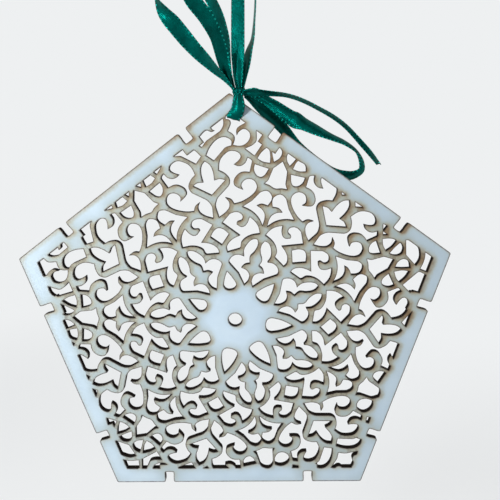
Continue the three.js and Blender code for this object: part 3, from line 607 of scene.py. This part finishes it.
bulged = add_node(ribbon_tree, "ShaderNodeMath", {
    0: fold_height.outputs[0], 1: hollow.outputs[0],
}, operation="SUBTRACT")
cupped = add_node(ribbon_tree, "ShaderNodeMath", {
    0: squared.outputs[0], 1: sampled["cup"], 2: bulged.outputs[0],
}, operation="MULTIPLY_ADD")
sideways = add_node(ribbon_tree, "ShaderNodeVectorMath", {0: sampled["across"], "Scale": side}, operation="SCALE")
outward = add_node(ribbon_tree, "ShaderNodeVectorMath", {
    0: sampled["lift"], "Scale": cupped.outputs[0],
}, operation="SCALE")
across_route = add_node(ribbon_tree, "ShaderNodeVectorMath", {
    0: sampled["position"], 1: sideways.outputs[0],
}, operation="ADD")
cloth_point = add_node(ribbon_tree, "ShaderNodeVectorMath", {
    0: across_route.outputs[0], 1: outward.outputs[0],
}, operation="ADD")
laid = add_node(ribbon_tree, "GeometryNodeSetPosition", {
    "Geometry": strip.outputs["Mesh"], "Position": cloth_point.outputs[0],
})
cloth_side = add_node(ribbon_tree, "ShaderNodeMath", {0: side, 1: given["Half width"]}, operation="MULTIPLY")
cloth_uv = add_node(ribbon_tree, "ShaderNodeCombineXYZ", {0: sampled["along"], 1: cloth_side.outputs[0]})
on_points = add_node(ribbon_tree, "GeometryNodeFieldOnDomain", {
    "Value": cloth_uv.outputs[0],
}, data_type="FLOAT_VECTOR", domain="POINT")
mapped = add_node(ribbon_tree, "GeometryNodeStoreNamedAttribute", {
    "Geometry": laid.outputs[0], "Name": "ribbon", "Value": on_points.outputs[0],
}, data_type="FLOAT2", domain="CORNER")
smooth = add_node(ribbon_tree, "GeometryNodeSetShadeSmooth", {"Geometry": mapped.outputs[0]})
whole = add_node(ribbon_tree, "GeometryNodeRealizeInstances", {"Geometry": smooth.outputs[0]})
dressed = add_node(ribbon_tree, "GeometryNodeSetMaterial", {
    "Geometry": whole.outputs[0], "Material": given["Cloth"],
})
ribbon_tree.links.new(dressed.outputs[0], result)


def ribbon(name, centres, halves, widths, pleats, cup, gather):
    """A satin ribbon on a route in metres with its half-width vectors, pleated where it is narrow.
    Widths, cup and gather are in millimetres; the cup grows with the square of the width."""
    route = new_mesh_object(name, [tuple(c) for c in centres], [])
    lifts = np.cross(np.gradient(centres, axis=0), halves)
    lifts /= np.linalg.norm(lifts, axis=1)[:, None]
    steps = np.linalg.norm(np.diff(centres, axis=0), axis=1)
    widths = np.asarray(widths)
    store(route.data, "across", "FLOAT_VECTOR", halves)
    store(route.data, "lift", "FLOAT_VECTOR", lifts)
    store(route.data, "gather", "FLOAT", gather * np.clip(RIBBON_WIDTH - widths, 0, None) * MM)
    store(route.data, "cup", "FLOAT", cup * (widths / RIBBON_WIDTH) ** 2 * MM)
    store(route.data, "along", "FLOAT", np.concatenate([[0], np.cumsum(steps)]))
    made_solid(route, ribbon_tree, {
        "Points across": POINTS_ACROSS, "Pleats": pleats, "Half width": HALF_RIBBON, "Cloth": satin,
    }, wall=RIBBON_WALL)
    return route


wrap_stations = [*wrap_front, *wrap_back]
wrap_centres = (catmull_rom([s[:3] for s in wrap_stations], STEPS_PER_SPAN) + KNOT) * MM
wrap_halves = catmull_rom([np.array(s[3]) * s[4] / 2 for s in wrap_stations], STEPS_PER_SPAN) * MM
wrap_widths = 2 * np.linalg.norm(wrap_halves, axis=1) / MM
off_panel = np.clip((np.abs(wrap_centres[:, 1]) / MM - BEND_DEPTH) / (FACE_GAP - BEND_DEPTH), 0, 1)
wrap = ribbon("ribbon_round_panel", wrap_centres, wrap_halves, wrap_widths,
              pleats=5.5, cup=-WRAP_BULGE * off_panel, gather=0.12)
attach(wrap, "ornament")
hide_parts("ribbon_wrap")

# Knot
# The ribbon is pulled tight round itself on the panel's top edge, in three narrow turns side by side.
# The turns are round about the line on which the ornament swings, and close over the ribbons' roots.
TURN_STEPS = 40
TURN_OVERLAP = 2
knot_turns = []
for middle, lean, width, radius in ((-1.6, -0.2, 2, 1.65), (0.05, -0.2, 2.5, 2.05), (1.8, 0.3, 2.2, 1.84)):
    angles = 2 * math.pi * np.arange(TURN_STEPS + TURN_OVERLAP) / TURN_STEPS
    centres = np.stack([middle + lean * np.sin(angles), -radius * np.cos(angles), radius * np.sin(angles)], axis=1)
    halves = np.tile((width / 2 * MM, 0, 0), (len(angles), 1))
    knot_turns.append(ribbon(f"knot_turn_{len(knot_turns)}", (centres + KNOT) * MM, halves,
                             np.full(len(angles), width), pleats=6.0, cup=-2.5, gather=0.04))

# The cloth inside the turns, a smooth core laid out in rings from pole to pole.
CORE_RADII = (2.9, 1.85, 1.85)
CORE_RINGS = 19
CORE_STEPS = 32
core_points = [(0, 0, 1)]
for slope in math.pi * np.arange(1, CORE_RINGS + 1) / (CORE_RINGS + 1):
    for angle in 2 * math.pi * np.arange(CORE_STEPS) / CORE_STEPS:
        core_points.append((math.sin(slope) * math.cos(angle), math.sin(slope) * math.sin(angle), math.cos(slope)))
core_points.append((0, 0, -1))
last_point = len(core_points) - 1
last_ring = last_point - CORE_STEPS
core_faces = []
for step in range(CORE_STEPS):
    following = (step + 1) % CORE_STEPS
    core_faces.append((0, 1 + step, 1 + following))
    for ring in range(1, last_ring, CORE_STEPS):
        below = ring + CORE_STEPS
        core_faces.append((ring + step, below + step, below + following, ring + following))
    core_faces.append((last_point, last_ring + following, last_ring + step))
knot_core = new_mesh_object("knot_core", ((np.array(core_points) * CORE_RADII + KNOT) * MM).tolist(), core_faces)
knot_core.data.materials.append(satin)
knot_core.data.shade_smooth()

knot = knot_turns[0]
knot_parts = [*knot_turns, knot_core]
with bpy.context.temp_override(
    active_object=knot, object=knot, selected_editable_objects=knot_parts, selected_objects=knot_parts,
):
    bpy.ops.object.join()
knot.name = "ribbon_knot_turns"
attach(knot, "ornament")
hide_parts("ribbon_knot")


def strand(name, stations, gather, cup):
    """A free ribbon through stations (x, y, z, tilt, width) from the knot's centre, and its route in metres.
    Stations are in millimetres and degrees. Tilt 0 shows the ribbon's face along Y, and tilt 90 its edge."""
    centres = catmull_rom([s[:3] for s in stations], STEPS_PER_SPAN)
    tilts, widths, _ = catmull_rom([(*s[3:], 0) for s in stations], STEPS_PER_SPAN).T
    tangents = np.gradient(centres, axis=0)
    tangents /= np.linalg.norm(tangents, axis=1)[:, None]
    depths = np.array((0, 1, 0)) - tangents * tangents[:, 1:2]
    depths /= np.linalg.norm(depths, axis=1)[:, None]
    turned = np.radians(tilts)[:, None]
    halves = np.cross(tangents, depths) * np.cos(turned) + depths * np.sin(turned)
    halves *= widths[:, None] / 2 * MM
    route = (centres + KNOT) * MM
    return ribbon(name, route, halves, widths, pleats=5.0, cup=cup, gather=gather), route


W = RIBBON_WIDTH
HANGING_LOOP = [
    (0.35, -0.75, 1.75, 0, 2.8), (0.1, -0.9, 5, 0, 3.8), (0.1, -1.1, 11.3, 10, 5.4), (0.3, -1.1, 20, 25, W),
    (0.6, -1.1, 32, 27, W), (0.8, -1, 41.6, 30, W), (0.8, -0.5, 52.6, 55, W), (0.8, 0, 64.6, 90, W),
    (0.8, 0, 73.85, 90, W), (1.928, 0, 76.572, 90, W), (4.65, 0, 77.7, 90, W), (7.372, 0, 76.572, 90, W),
    (8.5, 0, 73.85, 90, W), (8.5, 0, 62.6, 90, W), (8.5, 0.1, 50.6, 93, W), (8.5, 0.1, 40.2, 96, W),
    (7.8, 0.4, 31, 98, W), (6.9, 0.8, 23.6, 105, W), (5, 1.6, 17.8, 120, W), (3.9, 2, 12.6, 130, 5.8),
    (2.7, 1.6, 6.5, 145, 3.4), (1.85, 1.1, 1.6, 158, 1.6),
]
loop, route = strand("hanging_ribbon", HANGING_LOOP, gather=0.1, cup=0.22)
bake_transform(loop)
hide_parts("hanging_loop_top", "hanging_strand_left", "hanging_strand_right")

# Bow
# The ribbon's ends are tied in a bow: a loop and a tail of the same satin to each side of the knot.
# The left loop leans forward, and the right one passes behind the panel; the tails end in a plain cut.
LEFT_LOOP = [
    (-2, -1.2, 0.8, 70, 1.6), (-6.3, -2.6, 6.1, 60, 4.4), (-9.8, -4, 9.5, 55, 6), (-13.2, -6, 12.9, 48, W),
    (-19.7, -10.4, 19.2, 25, W), (-25.9, -15, 26.2, 0, W), (-30.5, -18.4, 32.3, 40, W),
    (-32.6, -19.6, 36.5, 70, W), (-33.7, -20.4, 41.1, 88, W), (-32.4, -20.8, 46, 90, W),
    (-28.8, -20.6, 48.4, 90, W), (-25, -20, 45.8, 80, W), (-21.2, -18.8, 40.4, 40, W),
    (-17.5, -17.4, 35.7, 10, W), (-12.7, -13.6, 29.8, 15, W), (-9.6, -9.6, 23.8, 32, W),
    (-7.3, -5.6, 16.9, 20, 6.6), (-6.3, -3.8, 13.1, 5, 5.8), (-4.7, -1.8, 7.4, -15, 4.1),
    (-3.2, -0.5, 4, -15, 2.4), (-2.2, 0.2, 1.1, -10, 1.4),
]
LEFT_TAIL = [
    (-2.1, 1.25, 1.15, 30, 1.4), (-2.8, 1.7, 3.6, 30, 2), (-3.6, 2.1, 6.4, 30, 2.6), (-4.6, 2.4, 9.4, 30, 3.8),
    (-5.3, 2.7, 13.8, 32, 5), (-5.7, 2.9, 18.1, 36, 6), (-6, 3, 22.6, 40, W), (-6.4, 3, 26, 42, W),
    (-7.2, 3, 29.7, 44, W), (-8.1, 3, 33.2, 46, W), (-9.4, 3, 36.6, 47, W), (-11.7, 3, 41.3, 48, W),
    (-14, 3.2, 45.7, 48, W), (-16.1, 3.4, 49.7, 48, W),
]
RIGHT_TAIL = [
    (2, -0.5, -0.1, 140, 2), (6.4, -1, -0.6, 138, 5), (10.8, -1.4, -1.1, 117, 6.4), (15.2, -1.4, -1.3, 105, W),
    (22.6, -1.2, -2.2, 100, W), (28.1, -1, -3.8, 99, W), (33, -1, -5.9, 99, W), (38.2, -1, -8.6, 99, W),
    (43.3, -1, -11.4, 100, W), (48.4, -1, -14.8, 100, W), (52.5, -1, -18.3, 100, W), (56.4, -1, -22.4, 101, W),
    (59.9, -1, -26.2, 103, W), (63.1, -1, -29.8, 102, W), (67.6, -1, -35.5, 95, W),
]
RIGHT_LOOP = [
    (2.7, 1.3, -0.9, 15, 1.5), (5.4, 2, -0.9, 15, 2.5), (10.9, 3.2, -2.8, 5, 4.2), (17, 3.8, -6.4, 0, 5.4),
    (25.4, 4.2, -12.4, 0, W), (31.9, 4.4, -15.7, 30, W), (37.3, 4.5, -18.3, 42, W), (45.4, 4.6, -22.1, 63, W),
    (51.4, 4.7, -24.9, 73, W), (57, 4.9, -29.1, 82, W), (60.1, 5.2, -34.1, 96, W), (60.4, 5.8, -38.3, 102, W),
    (57.6, 6.6, -40.4, 115, W), (53.2, 7.2, -41, 130, W), (47.2, 7.6, -39.8, 138, W), (38.8, 8, -34.6, 140, W),
    (28.8, 7.8, -26.2, 140, W), (21.1, 7.2, -16.7, 145, W), (14.8, 6.4, -10.8, 150, W), (9, 4.8, -5.7, 157, 5.4),
    (5.6, 3.2, -3.2, 160, 3.4), (2.9, 1.5, -1.6, 160, 1.7),
]
for name, node, stations, cup, far_end in (
    ("bow_loop_left_ribbon", "bow_loop_left", LEFT_LOOP, 0.7, "object"),
    ("bow_tail_left_ribbon", "bow_tail_left", LEFT_TAIL, 0.3, "bare"),
    ("bow_tail_right_ribbon", "bow_tail_right", RIGHT_TAIL, -0.8, "bare"),
    ("bow_loop_right_ribbon", "bow_loop_right", RIGHT_LOOP, -1.2, "object"),
):
    piece, route = strand(name, stations, gather=0.1, cup=cup)
    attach(piece, "ornament")
    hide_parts(node)

# Floor, light and camera
# A plain pale floor well below the ornament runs out into the same pale colour all round.
# The floor keeps the ornament's shadow, and the light from all round is weak.
FLOOR_LEVEL = -0.43
FLOOR_HALF = 4.0
FADE_START = 0.45
FADE_END = 1.0
GLOW_IN_SHADOW = 0.6
SURROUNDING_LIGHT = 0.14
BACKDROP = linear("#eef0f1")


def seen_directly(tree):
    """1 for a ray from the camera, a gloss or a glass, which sees the plain pale colour, and 0 for any other."""
    ray = add_node(tree, "ShaderNodeLightPath").outputs
    seen = add_node(tree, "ShaderNodeMath", {0: ray["Is Camera Ray"], 1: ray["Is Glossy Ray"]}, operation="ADD")
    return add_node(tree, "ShaderNodeMath", {
        0: seen.outputs[0], 1: ray["Is Transmission Ray"],
    }, operation="ADD", use_clamp=True).outputs[0]


floor = new_mesh_object("floor", [
    (x * FLOOR_HALF, y * FLOOR_HALF, FLOOR_LEVEL) for x, y in ((-1, -1), (1, -1), (1, 1), (-1, 1))
], [(0, 1, 2, 3)])
pale, tree, output = new_material("Pale studio floor")
place = add_node(tree, "ShaderNodeTexCoord").outputs["Object"]
radius = add_node(tree, "ShaderNodeVectorMath", {0: place}, operation="LENGTH").outputs["Value"]
fading = add_node(tree, "ShaderNodeMapRange", {
    "Value": radius, "From Min": FADE_START, "From Max": FADE_END, "To Min": GLOW_IN_SHADOW, "To Max": 1,
}, interpolation_type="SMOOTHSTEP")
matt = add_node(tree, "ShaderNodeBsdfDiffuse", {"Color": BACKDROP})
glow = add_node(tree, "ShaderNodeEmission", {"Color": BACKDROP})
share = add_node(tree, "ShaderNodeMath", {0: fading.outputs[0], 1: seen_directly(tree)}, operation="MULTIPLY")
ground = add_node(tree, "ShaderNodeMixShader", {0: share.outputs[0], 1: matt.outputs[0], 2: glow.outputs[0]})
tree.links.new(ground.outputs[0], output.inputs["Surface"])
floor.data.materials.append(pale)

world = bpy.data.worlds.new("studio")
bpy.context.scene.world = world
world.use_nodes = True
tree = world.node_tree
tree.nodes.clear()
around = add_node(tree, "ShaderNodeBackground", {"Color": linear("#ffffff"), "Strength": SURROUNDING_LIGHT})
shown = add_node(tree, "ShaderNodeBackground", {"Color": BACKDROP, "Strength": 1})
mixed = add_node(tree, "ShaderNodeMixShader", {0: seen_directly(tree), 1: around.outputs[0], 2: shown.outputs[0]})
add_node(tree, "ShaderNodeOutputWorld", {"Surface": mixed.outputs[0]})

# Soft lamps, at the level at which the paint looks as written: a key lamp to the left, which gives the satin
# its gleams, a weak fill to the right, one above and one behind. Those two show in no gloss.
LAMPS_AIM = Vector((-0.009, 0, -0.18))
for name, place, size, watts, gleams in (
    ("key lamp", (-0.42, -0.35, 0.0), 0.13, 3.3, True),
    ("fill lamp", (0.8, -0.7, 0.1), 0.6, 0.3, True),
    ("top lamp", (0.1, 0.35, 0.8), 0.5, 4, False),
    ("back lamp", (0.5, 1, 0.3), 1, 9, False),
):
    lamp = bpy.data.lights.new(name, "AREA")
    lamp.energy = watts
    lamp.size = size
    stand = bpy.data.objects.new(name, lamp)
    bpy.context.scene.collection.objects.link(stand)
    stand.location = place
    stand.visible_camera = False
    stand.visible_glossy = gleams
    stand.rotation_euler = (LAMPS_AIM - stand.location).to_track_quat("-Z", "Y").to_euler()

# The camera stands before the knot and looks down a little, as the photograph's did.
CAMERA_PLACE = Vector((4.648 * MM, -263.357 * MM, -98.473 * MM))
CAMERA_AIM = Vector((-0.01866, 0.9778, -0.2087))
CAMERA_UP = Vector((0.01326, 0.20896, 0.97784))
camera_data = bpy.data.cameras.new("camera")
camera_data.sensor_width = 36
camera_data.lens = 38.283
camera_data.clip_start = 0.01
camera = bpy.data.objects.new("camera", camera_data)
bpy.context.scene.collection.objects.link(camera)
forward = CAMERA_AIM.normalized()
right = forward.cross(CAMERA_UP).normalized()
up = right.cross(forward)
facing = Matrix((right, up, -forward)).transposed().to_4x4()
camera.matrix_world = Matrix.Translation(CAMERA_PLACE) @ facing
bpy.context.scene.camera = camera
bpy.context.scene.view_settings.view_transform = "Standard"
